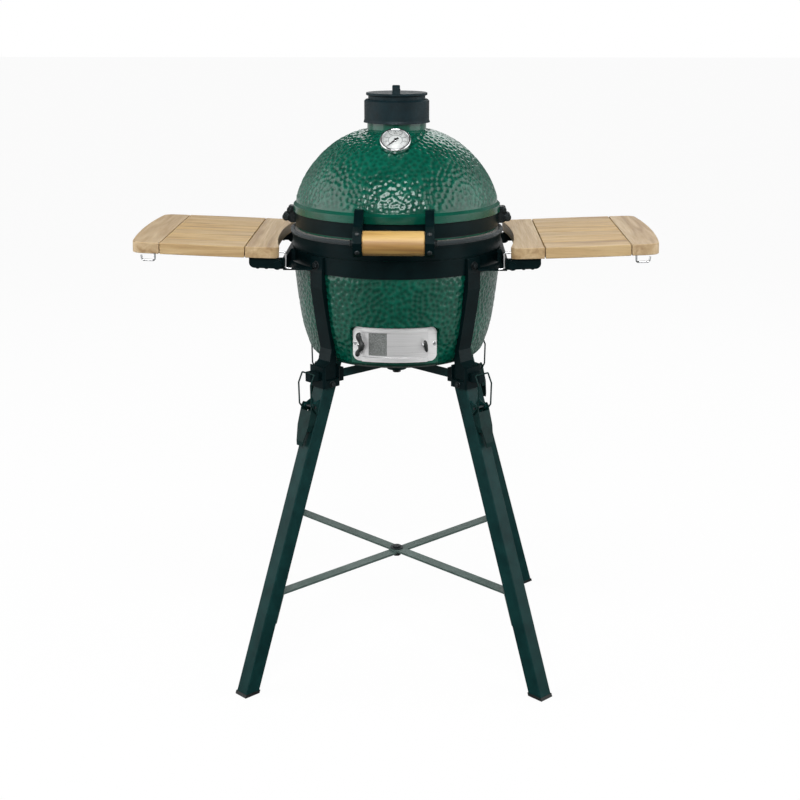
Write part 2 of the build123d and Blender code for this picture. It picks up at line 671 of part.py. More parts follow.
save("lid_shell", lid_outer() - lid_inner() - on_dial(rod_z(4.1, -60, 0)))
lug = make_side_lug()
save("lid_band", ring(LID_BAND_RADIUS, 192, 846, LID_BAND_TOP - 0.5))
save("lid_band_bolts", lug, mirror(lug, Plane.YZ))
save("lid_gasket", ring(172, 188, 840.2, LID_BOTTOM))
ear = make_hinge_ear()
save("hinge_lid_bracket", ear, mirror(ear, Plane.YZ))

grip = rod_x(GRIP_RADIUS, -GRIP_HALF_LENGTH, GRIP_HALF_LENGTH, GRIP_Y, GRIP_Z)
save("handle_grip", fillet(grip.edges().filter_by(GeomType.CIRCLE), 3))
bracket = make_handle_bracket()
save("handle_brackets", bracket, mirror(bracket, Plane.YZ))

save("thermometer_case", make_thermometer())
needle = prism_xz([(-2, -7), (2, -7), (0.5, 20), (-0.5, 20)], -0.4, 0.4)
needle = Rot(0, 0, -45) * Rot(90, 0, 0) * needle + rod_z(3.4, -0.5, 0.5)
save("thermometer_needle", on_dial(Pos(0, 0, -1.6) * (needle - rod_z(2 + RUNNING, -3, 3))))

save("vent_cap_body", make_vent_cap())
save("vent_cap_disc", make_vent_disc())

shelf = shelf_tilt(make_shelf())
arms = [shelf_tilt(arm) for arm in make_shelf_arms()]
hooks = [shelf_tilt(hook) for hook in make_tool_hooks()]
save("shelf_right", shelf)
save("shelf_arms_right", *arms)
save("tool_hooks_right", *hooks)
save("shelf_left", mirror(shelf, Plane.YZ))
save("shelf_arms_left", *[mirror(arm, Plane.YZ) for arm in arms])
save("tool_hooks_left", *[mirror(hook, Plane.YZ) for hook in hooks])
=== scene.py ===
import json
import math
import random

import bpy
from mathutils import Matrix, Vector
from mathutils.kdtree import KDTree


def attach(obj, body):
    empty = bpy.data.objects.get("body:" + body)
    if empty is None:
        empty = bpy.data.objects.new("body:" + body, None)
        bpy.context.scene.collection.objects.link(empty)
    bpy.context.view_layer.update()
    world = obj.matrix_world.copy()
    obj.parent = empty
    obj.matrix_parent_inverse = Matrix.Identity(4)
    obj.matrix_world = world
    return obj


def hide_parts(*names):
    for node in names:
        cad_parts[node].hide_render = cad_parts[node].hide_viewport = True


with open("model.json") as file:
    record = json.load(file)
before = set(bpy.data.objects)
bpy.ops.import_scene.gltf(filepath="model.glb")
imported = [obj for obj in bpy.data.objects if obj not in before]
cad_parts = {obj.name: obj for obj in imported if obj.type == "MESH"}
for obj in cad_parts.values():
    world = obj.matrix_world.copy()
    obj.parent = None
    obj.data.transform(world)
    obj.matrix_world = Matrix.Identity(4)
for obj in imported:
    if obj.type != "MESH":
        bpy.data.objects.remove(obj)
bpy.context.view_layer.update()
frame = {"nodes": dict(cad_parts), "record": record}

# Lengths are metres in the part's frame: floor at z = 0, front towards -Y.
MM = 0.001

# Camera fitted to the photograph, a square image.
CAMERA_PLACE = (0.0592, -2.6927, 1.2566)
CAMERA_YAW = 0.022
CAMERA_PITCH = 0.2749
CAMERA_LENS = 64.0
CAMERA_SENSOR = 36.0
CAMERA_SHIFT = 0.0041

# Dimples of the glazed ceramic, and the thin skin that carries them.
DIMPLE_PITCH = 10.0 * MM
DIMPLE_SPACING = 0.8 * DIMPLE_PITCH   # least distance between two centres
DIMPLE_RADIUS = 0.56 * DIMPLE_PITCH
DIMPLE_DEPTH = 1.45 * MM
DIMPLE_SEED = 11
DIMPLE_TRIALS = 26000
SKIN_STEP = 2.1 * MM        # size of the skin's faces
SKIN_LIFT = 0.12 * MM       # height of the skin over the CAD wall
SKIN_SINK = 0.1 * MM        # depth of the skin's two edges below it
SKIN_FADE = 4               # rows over which the dimples die out towards those edges
WALL_LOOKS = range(30, 155, 5)   # degrees at the back, where no opening breaks the wall
GLAZE_POOL_AND_SHADE = "glaze_pool_and_shade"   # mesh value: how deep the glaze has run together in the dimples, which also paints shade into them
RIDGE_GLAZE_AND_LIGHT = 1.22           # brightness of the ridges between dimples: thinner glaze and painted light
HOLLOW_GLAZE_AND_SHADE = 0.72          # and at the bottom of a dimple: pooled glaze and painted shade

# Bare inside of the ceramic: heights of the points on the axis that it looks towards.
LINING_LIFT = 0.1 * MM
LID_MIDDLE = 870 * MM
BASE_MIDDLE = 800 * MM
BASE_LINING_BOTTOM = 790 * MM

# Plain land behind the draft door, without dimples.
DRAFT_LAND_ANGLE = math.radians(27.2)
DRAFT_LAND_LOW = 613 * MM
DRAFT_LAND_HIGH = 684 * MM
DRAFT_LAND_CORNER = 14 * MM

# Outer walls of the ceramic, as (radius, z) in millimetres.
DOME_WALL = [
    (190, 891), (183, 913), (172.4, 935.5), (157, 958), (136.9, 980),
    (107.6, 1002.5), (84, 1014), (60, 1022),
]
BASE_WALL = [
    (160, 606), (166.5, 618), (172, 634), (178, 654), (182.7, 678),
    (186, 700), (189, 725), (191.5, 748), (193.3, 764), (194, 775),
]

# Shelf boards, drawn level and then tipped about the hinge.
SHELF_TILT = math.radians(2.2)
SHELF_HINGE = (212 * MM, 795 * MM)
BOARD_BOTTOM = 807.4 * MM
BOARD_TOP = 827.4 * MM
SHELF_INNER = 207 * MM
SHELF_OUTER = 473 * MM
SHELF_HALF_WIDTH = 171 * MM
SHELF_CORNER = 14 * MM
SHELF_SIDE_BOW = 4 * MM
SHELF_OUTER_BOW = 10 * MM
SHELF_INNER_BOW = 15 * MM
SHELF_EDGE_STEPS = 40
SHELF_CORNER_STEPS = 6
SLAT_ENDS = (270 * MM, 424 * MM)
SLAT_COUNT = 6
BOARD_GAP = 1.4 * MM
BOARD_EASE = 1.3 * MM       # width of the eased edges
GOLDEN = 0.618              # steps of this share keep the tones of neighbouring slats apart

# Bolts and screws.
CARRIER_BOLT_RADIUS = 202.2 * MM
CARRIER_BOLT_HEIGHT = 791 * MM
BAND_BOLTS = ((209, 860, 11), (202, 874, 8))          # x, z and width across flats, in millimetres
BAND_BOLT_REACH = 16.5 * MM
HANDLE_SCREWS = ((-262.0, 866.5, 0.35), (-268.0, 836.0, -0.25))   # y and z in millimetres, upward slope
HANDLE_SCREW_SIDE = 62.5 * MM
HANDLE_BOLT = (70.6 * MM, -250 * MM, 849 * MM)
SHELF_SCREW_ROWS = (("front", -158 * MM), ("back", 158 * MM))
SHELF_SCREW_REACH = (232 * MM, 248 * MM)
SHELF_SCREW_HEIGHT = 788 * MM
SOCKET_BOLT_RADIUS = 186 * MM
SOCKET_BOLT_SIDE = 21 * MM
SOCKET_BOLT_HEIGHT = 568 * MM
SUNK_HEAD = 0.05            # flatness of screw heads that a plate slides over

# Draft door and screen: radii from the egg's axis, and angles in degrees from the front.
DRAFT_MIDDLE = 650 * MM
DRAFT_SCREW_ANGLE = 24.6
DRAFT_SCREW_RADIUS = 175.2 * MM
LEVER_RADIUS = 187.0 * MM
LEVER_POST_FOOT = 177 * MM
SCREEN_LEVER_ANGLE = -20.6
DOOR_LEVER_ANGLE = 17.5
# The levers' middle lines, as (degrees from the post, z and radius in millimetres).
SCREEN_LEVER = [
    (1.0, 672, 2.2), (-0.2, 669, 5.2), (0.3, 662, 5.0), (1.3, 656, 3.8), (1.9, 650, 6.0),
    (1.4, 643, 5.2), (0.1, 639, 3.0), (-0.6, 635, 4.8), (-0.6, 630, 4.4), (-0.4, 628, 1.5),
]
DOOR_LEVER = [
    (-0.5, 660, 1.2), (-0.3, 658, 3.4), (0.0, 652, 4.0),
    (0.4, 645, 3.6), (0.7, 640, 2.8), (0.8, 638, 1.0),
]
MESH_RADIUS = 176.9 * MM
MESH_BOTTOM = 629.5 * MM
MESH_TOP = 671.5 * MM
MESH_START = -15.6
MESH_END = -1.0
MESH_EDGE_START = -18.6
MESH_COLUMNS = 24
# Thin bright bars along the rail edges, painted highlights.
RAIL_HIGHLIGHT_RADIUS = 178.6 * MM
RAIL_HIGHLIGHT_ANGLE = 19.2
RAIL_HIGHLIGHT_HEIGHTS = (619.2 * MM, 626.0 * MM, 674.0 * MM, 680.8 * MM)
RAIL_HIGHLIGHT_THICKNESS = 0.8 * MM    # radius of the bright bar that paints the highlight on a rail edge
RAIL_HIGHLIGHT_STEPS = 16

# Grey bead on the base band.
BEAD_RING = 197.3 * MM
BEAD_RADIUS = 4.2 * MM
BEAD_HEIGHT = 837.6 * MM
BEAD_STEPS = 16

# Thermometer. Heights are measured outwards from the front of its case.
DIAL_FACE = Vector((0.0, -113 * MM, 1014.5 * MM))
DIAL_TILT = math.radians(40)
DIAL_RADIUS = 24.3 * MM
DIAL_FACE_HEIGHT = -2.55 * MM
DIAL_MARK_HEIGHT = -2.35 * MM
DIAL_NUMBER_HEIGHT = -2.3 * MM
DIAL_HUB_HEIGHT = -1.15 * MM
DIAL_START = math.radians(-135)
DIAL_SWEEP = math.radians(270)
DIAL_STEPS = 40
DIAL_STEPS_PER_NUMBER = 5
DIAL_NUMBER_STEP = 50
TICK_OUTER = 23.0 * MM
LONG_TICK = (19.6 * MM, 0.9 * MM)        # inner radius and width
SHORT_TICK = (21.0 * MM, 0.45 * MM)
# Outline of the bezel, as (radius, height) in millimetres.
DIAL_RIM = [(27.4, -0.6), (27.4, 0.25), (26.4, 0.7), (25.0, 0.5), (24.4, -0.3)]

# Studio.
FLOOR_HALF = 30.0
FLOOR_BOUNCE = 0.12      # paleness of the floor as it lights the object
FLOOR_PALE = 0.9         # and as the camera sees it
FLOOR_SEEN = 0.95        # share of plain white in the floor that the camera sees
FLOOR_AHEAD = 0.0        # the same share where the floor before the object shows in a glossy surface
FLOOR_ASIDE = 0.6        # and where the floor beside it does
FLOOR_ASIDE_FROM = (0.5, 1.2)   # distances to the side between which the one changes to the other
ROOM_DARK = 0.1          # brightness of the room before and behind the object, as it lights it
ROOM_WALL = 0.8          # and of its two side walls
ROOM_WALL_FROM = (0.3, 0.85)    # sideways part of a direction between which the one changes to the other
ROOM_CEILING = 0.3       # share of the walls' brightness that is left overhead
ROOM_CEILING_FROM = (0.3, 0.8)  # upward part of a direction over which it falls
LIGHTS_AIM = (0, 0, 0.8)


def srgb(red, green, blue):
    """Linear colour from screen values between 0 and 255."""
    linear = []
    for value in (red, green, blue):
        share = value / 255
        linear.append(share / 12.92 if share <= 0.04045 else ((share + 0.055) / 1.055) ** 2.4)
    return (*linear, 1.0)


def grey(level):
    """Neutral colour from an 8-bit level."""
    return srgb(level, level, level)


class Surface:
    """A Principled material with short calls for its procedural detail."""

    def __init__(self, name, colour, roughness, metallic=0.0):
        self.material = bpy.data.materials.new(name)
        self.material.use_nodes = True
        self.tree = self.material.node_tree
        self.shader = self.tree.nodes["Principled BSDF"]
        self.set("Base Color", colour)
        self.set("Roughness", roughness)
        self.set("Metallic", metallic)
        self.place = self.tree.nodes.new("ShaderNodeTexCoord").outputs["Object"]

    def set(self, socket, value):
        """Give one of the shader's sockets a fixed value."""
        self.shader.inputs[socket].default_value = value

    def link(self, output, target):
        """Join an output to an input."""
        self.tree.links.new(output, target)

    def stretched(self, stretch, shift=(0, 0, 0)):
        """Object coordinates scaled per axis, for grain and brush marks."""
        mapping = self.tree.nodes.new("ShaderNodeMapping")
        mapping.inputs["Scale"].default_value = stretch
        mapping.inputs["Location"].default_value = shift
        self.link(self.place, mapping.inputs["Vector"])
        return mapping.outputs["Vector"]

    def noise(self, scale, detail=4.0, where=None, distortion=0.0):
        """Value of a noise field. Scale is in features per metre."""
        node = self.tree.nodes.new("ShaderNodeTexNoise")
        node.inputs["Scale"].default_value = scale
        node.inputs["Detail"].default_value = detail
        node.inputs["Distortion"].default_value = distortion
        self.link(where or self.place, node.inputs["Vector"])
        return node.outputs["Fac"]

    def cells(self, scale):
        """Distance to the nearest cell centre. Scale is in cells per metre."""
        node = self.tree.nodes.new("ShaderNodeTexVoronoi")
        node.inputs["Scale"].default_value = scale
        self.link(self.place, node.inputs["Vector"])
        return node.outputs["Distance"]

    def stored(self, name):
        """Value that the mesh keeps at each point; zero on a mesh without it."""
        node = self.tree.nodes.new("ShaderNodeAttribute")
        node.attribute_name = name
        return node.outputs["Fac"]

    def ramp(self, value, *stops):
        """Colour along a value. Each stop is (place, colour)."""
        node = self.tree.nodes.new("ShaderNodeValToRGB")
        elements = node.color_ramp.elements
        while len(elements) < len(stops):
            elements.new(0.5)
        for element, (place, colour) in zip(elements, stops):
            element.position = place
            element.color = colour
        self.link(value, node.inputs["Fac"])
        return node.outputs["Color"]

    def span(self, value, low, high, start=0.3, end=0.7):
        """Stretch a value to a range."""
        node = self.tree.nodes.new("ShaderNodeMapRange")
        node.inputs["From Min"].default_value = start
        node.inputs["From Max"].default_value = end
        node.inputs["To Min"].default_value = low
        node.inputs["To Max"].default_value = high
        self.link(value, node.inputs["Value"])
        return node.outputs["Result"]

    def mix(self, share, first, second, blend="MIX"):
        """Mix two colours. Each may be an output or a colour; share may be an output or a number."""
        node = self.tree.nodes.new("ShaderNodeMix")
        node.data_type = "RGBA"
        node.blend_type = blend
        # A colour mix has its share at input 0, its colours at 6 and 7, and its result at output 2.
        for socket, value in ((node.inputs[0], share), (node.inputs[6], first), (node.inputs[7], second)):
            if isinstance(value, bpy.types.NodeSocket):
                self.link(value, socket)
            else:
                socket.default_value = value
        return node.outputs[2]

    def colour(self, output):
        """Drive the base colour."""
        self.link(output, self.shader.inputs["Base Color"])
        return self

    def drift(self, scale, detail, dark, light):
        """Let the base colour drift between two tones."""
        return self.colour(self.ramp(self.noise(scale, detail), (0.3, dark), (0.7, light)))

    def rough(self, output):
        """Drive the roughness."""
        self.link(output, self.shader.inputs["Roughness"])
        return self

    def bump(self, height, depth):
        """Relief from a value, with its depth in metres."""
        node = self.tree.nodes.new("ShaderNodeBump")
        node.inputs["Distance"].default_value = depth
        node.inputs["Strength"].default_value = 1.0
        self.link(height, node.inputs["Height"])
        self.link(node.outputs["Normal"], self.shader.inputs["Normal"])
        return self


def glaze():
    """Deep green glaze over ceramic, mottled, with a clear coat. It is darker in the dimples and lighter on
    the ridges: partly pooled glaze, partly painted shade and painted light.
    """
    paint = Surface("green_glaze", srgb(4, 86, 67), 0.22)
    cloud = paint.noise(18, 5)
    speck = paint.noise(420, 3)
    tone = paint.ramp(cloud, (0.3, srgb(3, 69, 54)), (0.5, srgb(4, 79, 62)), (0.72, srgb(7, 88, 70)))
    speckled = paint.mix(paint.span(speck, 0.0, 0.3, 0.52, 0.72), tone, srgb(1, 58, 44))
    # Painted shade in the dimples and painted light on the ridges, partly standing for glaze that pooled.
    pooled_and_shaded = paint.span(paint.stored(GLAZE_POOL_AND_SHADE), RIDGE_GLAZE_AND_LIGHT, HOLLOW_GLAZE_AND_SHADE, -0.5, 0.5)
    paint.colour(paint.mix(1.0, speckled, pooled_and_shaded, "MULTIPLY"))
    paint.rough(paint.span(paint.noise(90, 4), 0.16, 0.28))
    paint.set("Specular IOR Level", 0.3)
    paint.set("Coat Weight", 0.2)
    paint.set("Coat Roughness", 0.05)
    return paint.bump(paint.noise(160, 3), 0.10 * MM).material


def fire_clay():
    """Dull porous ceramic, browned by fire."""
    clay = Surface("fire_clay", srgb(196, 172, 138), 0.85)
    stain = clay.noise(14, 6)
    clay.colour(clay.ramp(
        stain, (0.3, srgb(120, 100, 78)), (0.55, srgb(190, 166, 132)), (0.75, srgb(214, 194, 162)),
    ))
    return clay.bump(clay.noise(700, 5), 0.4 * MM).material


def powder_coat(name, dark, light, gloss):
    """Satin powder coat with fine orange peel, its tone drifting between dark and light."""
    coat = Surface(name, dark, 0.4)
    coat.drift(30, 5, dark, light)
    coat.rough(coat.span(coat.noise(240, 4), 0.30, 0.46))
    coat.set("Specular IOR Level", gloss)
    return coat.bump(coat.noise(900, 2), 0.06 * MM).material


def blackened_bolts():
    """Oiled black steel of the fasteners."""
    steel = Surface("blackened_steel", srgb(28, 36, 38), 0.34, 0.5)
    steel.drift(300, 4, srgb(18, 25, 27), srgb(38, 46, 48))
    steel.rough(steel.span(steel.noise(600, 3), 0.24, 0.48))
    return steel.bump(steel.noise(1500, 2), 0.03 * MM).material


def latch_steel():
    """Dark painted latch metal, uneven in tone."""
    steel = Surface("latch_steel", srgb(16, 38, 36), 0.34)
    steel.drift(60, 5, srgb(8, 34, 33), srgb(15, 46, 44))
    steel.rough(steel.span(steel.noise(400, 3), 0.26, 0.44))
    steel.set("Specular IOR Level", 0.08)
    return steel.bump(steel.noise(1100, 2), 0.04 * MM).material


def black_plastic():
    """Moulded black plastic with a fine grain."""
    plastic = Surface("black_plastic", srgb(18, 20, 21), 0.5)
    plastic.drift(80, 4, srgb(10, 14, 14), srgb(20, 27, 26))
    plastic.rough(plastic.span(plastic.noise(500, 3), 0.42, 0.6))
    return plastic.bump(plastic.cells(1600), 0.08 * MM).material


def cast_iron():
    """Sand-cast iron under matte black paint."""
    iron = Surface("cast_iron", srgb(24, 38, 40), 0.5)
    iron.drift(45, 6, srgb(5, 23, 28), srgb(11, 35, 41))
    iron.rough(iron.span(iron.noise(300, 4), 0.40, 0.62))
    iron.set("Specular IOR Level", 0.16)
    return iron.bump(iron.noise(1300, 6), 0.18 * MM).material


def brushed(name, stretch, shade=0):
    """Stainless sheet with brush marks along one direction. The shade, a painted shade in 8-bit levels, is
    taken off each tone.
    """
    sheet = Surface(name, srgb(232, 233, 232), 0.34, 0.5)
    marks = sheet.noise(1.0, 5, sheet.stretched(stretch))
    smear = sheet.noise(24, 4)
    tone = sheet.ramp(marks, (0.3, grey(228 - shade)), (0.7, grey(248 - shade)))
    sheet.colour(sheet.mix(sheet.span(smear, 0.0, 0.25), tone, grey(217 - shade)))
    sheet.rough(sheet.span(marks, 0.26, 0.42))
    return sheet.bump(marks, 0.02 * MM).material


def wire_mesh():
    """Fine woven steel mesh, too fine to show its holes from a distance."""
    weave = Surface("wire_mesh", srgb(134, 138, 136), 0.5, 0.4)
    threads = weave.cells(900)
    weave.colour(weave.ramp(threads, (0.1, srgb(184, 187, 185)), (0.6, srgb(96, 100, 98))))
    weave.rough(weave.span(weave.noise(300, 3), 0.4, 0.6))
    return weave.bump(threads, 0.25 * MM).material


def chrome():
    """Bright plated wire with slight clouding."""
    metal = Surface("chrome_wire", srgb(205, 207, 208), 0.12, 1.0)
    metal.drift(60, 3, srgb(188, 190, 192), srgb(222, 223, 224))
    metal.rough(metal.span(metal.noise(300, 3), 0.07, 0.2))
    return metal.bump(metal.noise(900, 2), 0.02 * MM).material


def felt(name, dark, light):
    """Pressed fibre with lint."""
    cloth = Surface(name, dark, 0.95)
    cloth.colour(cloth.ramp(cloth.noise(900, 6), (0.35, dark), (0.7, light)))
    cloth.set("Sheen Weight", 0.15)
    return cloth.bump(cloth.noise(1600, 5), 0.5 * MM).material


def painted(name, colour, roughness=0.45):
    """Plain paint with fine unevenness, for dial marks and the needle."""
    paint = Surface(name, colour, roughness)
    darker = tuple(channel * 0.86 for channel in colour[:3]) + (1.0,)
    paint.drift(500, 4, darker, colour)
    return paint.rough(paint.span(paint.noise(800, 3), roughness - 0.08, roughness + 0.08)).material


def wood(name, along, seed, warmth, lift=0):
    """Oiled hardwood. The grain runs along axis number along; seed moves the figure.

    Warmth goes from grey to honey, and lift is added to each tone.
    """
    timber = Surface(name, srgb(198, 172, 132), 0.5)
    shift = (seed * 0.37, seed * 0.53, seed * 0.29)

    def grain(across, lengthwise):
        stretch = [across] * 3
        stretch[along] = lengthwise
        return timber.stretched(stretch, shift)

    bands = timber.noise(1.0, 4, grain(46, 3.2), 1.4)
    fibres = timber.noise(1.0, 6, grain(620, 16))
    pores = timber.noise(1.0, 2, grain(1300, 42))
    light = srgb(206 + 12 * warmth + lift, 184 + 4 * warmth + lift, 150 - 18 * warmth + lift)
    middle = srgb(187 + 12 * warmth + lift, 162 + 3 * warmth + lift, 127 - 20 * warmth + lift)
    dark = srgb(150 + 8 * warmth + lift, 120 + lift, 82 - 10 * warmth + lift)
    tone = timber.ramp(bands, (0.28, dark), (0.48, middle), (0.72, light))
    tone = timber.mix(timber.span(fibres, 0.0, 0.30, 0.35, 0.7), tone, srgb(160, 122, 78))
    timber.colour(timber.mix(timber.span(pores, 0.0, 0.5, 0.62, 0.74), tone, srgb(116, 82, 50)))
    timber.rough(timber.span(fibres, 0.42, 0.6))
    return timber.bump(fibres, 0.10 * MM).material


SLOT_MATERIALS = {
    "green_glaze": glaze(),
    "fire_clay": fire_clay(),
    "black_steel": powder_coat("black_steel", srgb(3, 18, 20), srgb(7, 26, 28), 0.07),
    "zinc_bolts": blackened_bolts(),
    "latch_steel": latch_steel(),
    "black_plastic": black_plastic(),
    "cast_iron": cast_iron(),
    "stainless": brushed("stainless", (9, 9, 2600)),
    "chrome_wire": chrome(),
    "shelf_wood": wood("grip_wood", 0, 3, 1.6, -3),
    "felt": felt("gasket_felt", srgb(92, 90, 86), srgb(150, 147, 140)),
    "needle_paint": painted("needle_paint", srgb(24, 24, 26)),
}

# The draft door is a darker copy of the stainless: painted shade that stands for how differently its curved
# face reflects.
DOOR_STEEL_SHADED = brushed("door_steel_shaded", (9, 9, 1500), 11)
STAND_COAT = powder_coat("stand_coat", srgb(9, 42, 42), srgb(17, 56, 55), 0.1)
BRACE_COAT = powder_coat("brace_coat", srgb(62, 80, 75), srgb(84, 102, 97), 0.4)

# Each CAD node has the material of its slot, but for the stand, its braces and the draft door, whose steel
# carries painted shade.
for part in frame["record"]["subparts"]:
    node_object = frame["nodes"][part["node"]]
    node_object.data.materials.clear()
    finish = SLOT_MATERIALS[part["material_slot"]]
    if part["node"].startswith(("leg_", "upper_arm")):
        finish = STAND_COAT
    elif part["node"].startswith("lower_brace"):
        finish = BRACE_COAT
    elif part["node"] == "draft_door":
        finish = DOOR_STEEL_SHADED
    node_object.data.materials.append(finish)


def add_piece(name, points, faces, material, body, smooth=True):
    """Make a mesh piece in the part's frame, riding on a body."""
    mesh = bpy.data.meshes.new(name)
    mesh.from_pydata(points, [], faces)
    mesh.materials.append(material)
    for polygon in mesh.polygons:
        polygon.use_smooth = smooth
    mesh.update()
    piece = bpy.data.objects.new(name, mesh)
    bpy.context.scene.collection.objects.link(piece)
    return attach(piece, body)


def soften(piece, width, segments=2, angle=30):
    """Round a piece's sharp edges."""
    bevel = piece.modifiers.new("soft_edges", "BEVEL")
    bevel.width = width
    bevel.segments = segments
    bevel.limit_method = "ANGLE"
    bevel.angle_limit = math.radians(angle)
    bevel.harden_normals = True
    return piece


def strip_faces(rows, columns):
    """Four-sided faces between rows of points that each close into a ring."""
    faces = []
    for row in range(rows):
        below = row * columns
        above = below + columns
        for column in range(columns):
            after = (column + 1) % columns
            faces.append((below + column, below + after, above + after, above + column))
    return faces


def smooth_path(points, step):
    """Evenly spaced points on a smooth curve through the given ones."""
    padded = [2 * points[0] - points[1], *points, 2 * points[-1] - points[-2]]
    parts = 24
    fine = []
    for before, start, end, after in zip(padded, padded[1:], padded[2:], padded[3:]):
        for part in range(parts):
            t = part / parts
            fine.append(
                0.5 * (2 * start + (end - before) * t
                       + (2 * before - 5 * start + 4 * end - after) * t ** 2
                       + (3 * start - before - 3 * end + after) * t ** 3)
            )
    fine.append(points[-1])
    lengths = [0.0]
    for first, second in zip(fine, fine[1:]):
        lengths.append(lengths[-1] + (second - first).length)
    count = round(lengths[-1] / step)
    even = []
    index = 0
    for number in range(count + 1):
        goal = lengths[-1] * number / count
        while index < len(lengths) - 2 and lengths[index + 1] < goal:
            index += 1
        share = (goal - lengths[index]) / (lengths[index + 1] - lengths[index])
        even.append(fine[index].lerp(fine[index + 1], share))
    return even


def wall_profile(node, wall):
    """Points and outward directions on a CAD wall of revolution, in the (radius, z) plane."""
    shell = frame["nodes"][node]
    profile = []
    for guess in smooth_path([Vector((r * MM, z * MM)) for r, z in wall], SKIN_STEP):
        best = None
        for turn in WALL_LOOKS:
            angle = math.radians(turn)
            around = Vector((math.cos(angle), math.sin(angle)))
            start = Vector((around.x * guess.x, around.y * guess.x, guess.y))
            place, normal = shell.closest_point_on_mesh(start)[1:3]
            reach = Vector((place.xy.length, place.z))
            outward = Vector((normal.xy.dot(around), normal.z))
            if best is None or (reach - guess).dot(outward) > best[2]:
                best = (reach, outward.normalized(), (reach - guess).dot(outward))
        profile.append(best[:2])
    return profile


def dimple_centres(profile):
    """Dimple centres scattered over a surface of revolution, none closer than the spacing."""
    draw = random.Random(DIMPLE_SEED)
    widest = max(point.x for point, outward in profile)
    filled = {}
    neighbours = [(i, j, k) for i in (-1, 0, 1) for j in (-1, 0, 1) for k in (-1, 0, 1)]
    for trial in range(DIMPLE_TRIALS):
        point = profile[draw.randrange(len(profile))][0]
        angle = draw.random() * 2 * math.pi
        if draw.random() * widest > point.x:
            continue
        place = Vector((point.x * math.cos(angle), point.x * math.sin(angle), point.y))
        cell = tuple(math.floor(value / DIMPLE_SPACING) for value in place)
        around = [filled.get((cell[0] + i, cell[1] + j, cell[2] + k), ()) for i, j, k in neighbours]
        if all((place - other).length > DIMPLE_SPACING for group in around for other in group):
            filled.setdefault(cell, []).append(place)
    return [place for group in filled.values() for place in group]


def dimpled_skin(name, node, wall, body, opening=None):
    """Glazed outer face of the ceramic, with every dimple in the mesh, and a stored value that darkens the
    glaze in the dimples and lightens it on the ridges: partly pooled glaze, partly painted shade and painted
    light.
    """
    profile = wall_profile(node, wall)
    centres = dimple_centres(profile)
    tree = KDTree(len(centres))
    for number, centre in enumerate(centres):
        tree.insert(centre, number)
    tree.balance()
    columns = round(2 * math.pi * max(point.x for point, outward in profile) / SKIN_STEP)
    last = len(profile) - 1
    points = []
    pools_and_shade = []
    for row, (point, outward) in enumerate(profile):
        fade = min(1.0, min(row, last - row) / SKIN_FADE)
        for column in range(columns):
            angle = 2 * math.pi * column / columns
            around = Vector((math.cos(angle), math.sin(angle), 0))
            place = around * point.x + Vector((0, 0, point.y))
            distance = tree.find(place)[2] / DIMPLE_RADIUS
            hollow = 1 - min(1.0, distance ** 2)
            rise = DIMPLE_DEPTH * (1 - hollow)
            # Stored value for painted shade in the dimples and painted light on the ridges, partly pooled
            # glaze.
            pools_and_shade.append(fade * (hollow - 0.5))
            lift = fade * (SKIN_LIFT + rise) - (1 - fade) * SKIN_SINK
            points.append(place + (around * outward.x + Vector((0, 0, outward.y))) * lift)
    faces = strip_faces(last, columns)
    if opening:
        faces = [face for face in faces if not all(opening(points[corner]) for corner in face)]
    if wall[0][1] > wall[-1][1]:
        faces = [face[::-1] for face in faces]
    skin = add_piece(name, points, faces, SLOT_MATERIALS["green_glaze"], body)
    skin.data.attributes.new(GLAZE_POOL_AND_SHADE, "FLOAT", "POINT").data.foreach_set("value", pools_and_shade)
    return skin


def in_draft_land(point):
    """True on the plain land behind the draft door, up to the door frame's round upper corners."""
    from_front = abs(math.atan2(point.x, -point.y))
    if from_front > DRAFT_LAND_ANGLE or not DRAFT_LAND_LOW < point.z < DRAFT_LAND_HIGH:
        return False
    into_corner = (from_front - DRAFT_LAND_ANGLE) * point.xy.length + DRAFT_LAND_CORNER
    above_corner = point.z - DRAFT_LAND_HIGH + DRAFT_LAND_CORNER
    return math.hypot(max(into_corner, 0), max(above_corner, 0)) < DRAFT_LAND_CORNER


def bare_lining(name, node, middle, lowest, body):
    """Unglazed inside of a ceramic shell: its faces that look towards a point on the axis, above a height."""
    shell = frame["nodes"][node].data
    aim = Vector((0, 0, middle))
    faces = [
        tuple(face.vertices) for face in shell.polygons
        if face.normal.dot(aim - face.center) > 0 and face.center.z > lowest
    ]
    used = sorted({corner for face in faces for corner in face})
    renumbered = {corner: number for number, corner in enumerate(used)}
    points = [shell.vertices[corner].co for corner in used]
    faces = [tuple(renumbered[corner] for corner in face) for face in faces]
    lining = add_piece(name, points, faces, SLOT_MATERIALS["fire_clay"], body)
    for point in lining.data.vertices:
        point.co += point.normal * LINING_LIFT
    return lining


bare_lining("lid_lining", "lid_shell", LID_MIDDLE, 0, "lid")
bare_lining("base_lining", "base_shell", BASE_MIDDLE, BASE_LINING_BOTTOM, "carrier")
dimpled_skin("lid_dimples", "lid_shell", DOME_WALL, "lid")
dimpled_skin("base_dimples", "base_shell", BASE_WALL, "carrier", in_draft_land)


def arc_through(start, middle, end):
    """Points on the circle through three points, without the last."""
    to_middle = middle - start
    to_end = end - start
    twice_area = 2 * (to_middle.x * to_end.y - to_middle.y * to_end.x)
    offset = Vector((
        (to_end.y * to_middle.length_squared - to_middle.y * to_end.length_squared) / twice_area,
        (to_middle.x * to_end.length_squared - to_end.x * to_middle.length_squared) / twice_area,
    ))
    centre = start + offset
    first = math.atan2(-offset.y, -offset.x)
    to_last = end - centre
    last = math.atan2(to_last.y, to_last.x)
    turn = (last - first + math.pi) % (2 * math.pi) - math.pi
    arc = []
    for number in range(SHELF_EDGE_STEPS):
        angle = first + turn * number / SHELF_EDGE_STEPS
        arc.append(centre + offset.length * Vector((math.cos(angle), math.sin(angle))))
    return arc


